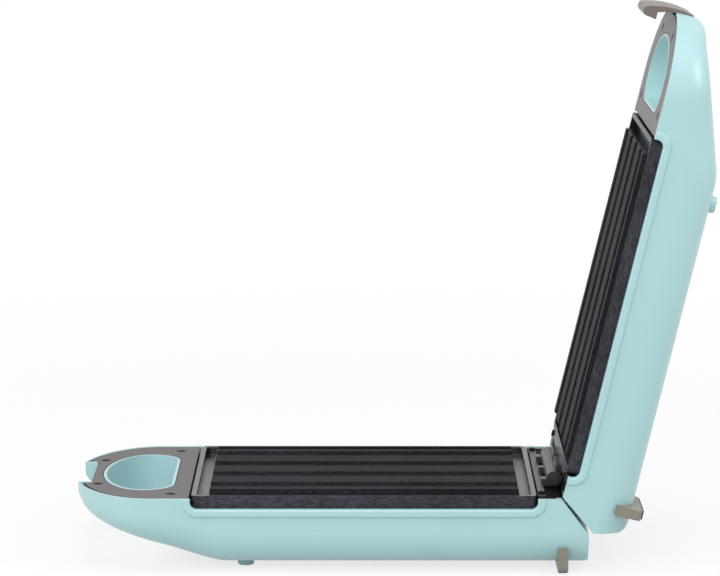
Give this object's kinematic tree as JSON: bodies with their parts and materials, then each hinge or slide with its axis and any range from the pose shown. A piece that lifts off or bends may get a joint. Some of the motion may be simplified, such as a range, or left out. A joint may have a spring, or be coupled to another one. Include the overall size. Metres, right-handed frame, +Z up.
{
  "type": "contact snack maker",
  "caption": "Hinged electric snack maker standing open: pale teal half shells, ribbed non-stick plates, loop handles with a finger hole, and a front latch.",
  "frame": {"origin": "on the table plane, under the middle of the overall box with the lid open as in the picture", "axes": "+Z up from the table, +Y from the handle end towards the hinge, +X across the width"},
  "size_m": [0.1562, 0.3794, 0.331],
  "materials": {
    "teal_plastic": "pale teal moulded plastic, smooth",
    "grey_plastic": "warm grey satin plastic",
    "screw_steel": "dark plated steel",
    "nonstick_plate": "cast aluminium with charcoal non-stick coating",
    "black_plastic": "black heat-resistant plastic",
    "sheet_aluminium": "bright aluminium sheet",
    "heater_steel": "heat-darkened steel tube",
    "control_body": "ceramic-coloured body",
    "taupe_plastic": "taupe satin plastic",
    "foot_rubber": "black rubber",
    "hinge_steel": "grey satin steel",
    "pin_steel": "bright steel",
    "terminal_plastic": "off-white insulating plastic",
    "red_lens": "clear red plastic",
    "green_lens": "clear green plastic"
  },
  "bodies": {
    "base": {"base_shell": "teal_plastic", "base_handle_trim": "grey_plastic", "base_trim_screws": "screw_steel", "base_frame_screws": "screw_steel", "base_hinge_screws": "screw_steel", "base_plate_screws": "screw_steel", "base_grill_plate": "nonstick_plate", "base_inner_frame": "black_plastic", "base_heat_reflector": "sheet_aluminium", "base_heating_element": "heater_steel", "base_thermostat": "control_body", "thermal_fuse": "control_body", "base_rear_feet": "taupe_plastic", "base_foot_pads": "foot_rubber", "cord_gland": "foot_rubber", "base_hinge_leaf": "hinge_steel", "hinge_pin": "hinge_steel", "terminal_block": "terminal_plastic"},
    "lid": {"lid_shell": "teal_plastic", "lid_handle_trim": "grey_plastic", "lid_trim_screws": "screw_steel", "lid_frame_screws": "screw_steel", "lid_hinge_screws": "screw_steel", "lid_plate_screws": "screw_steel", "lid_grill_plate": "nonstick_plate", "lid_inner_frame": "black_plastic", "lid_heat_reflector": "sheet_aluminium", "lid_heating_element": "heater_steel", "lid_thermostat": "control_body", "lid_rear_feet": "taupe_plastic", "lid_foot_pads": "foot_rubber", "lid_hinge_leaf": "hinge_steel", "latch_pin": "pin_steel", "latch_spring": "pin_steel", "power_lamp_lens": "red_lens", "ready_lamp_lens": "green_lens", "lamp_holder": "terminal_plastic"},
    "latch": {"latch": "taupe_plastic"}
  },
  "joints": [
    {"name": "lid_hinge", "type": "hinge", "parent": "base", "child": "lid", "pos_m": [0, 0.09628, 0.0485], "axis": [1, 0, 0], "range_deg": [0, 103.5]},
    {"name": "latch_pivot", "type": "hinge", "parent": "lid", "child": "latch", "pos_m": [0, 0.17267, 0.32172], "axis": [1, 0, 0], "range_deg": [-25, 12], "stiffness_Nm_per_rad": 0.3}
  ]
}
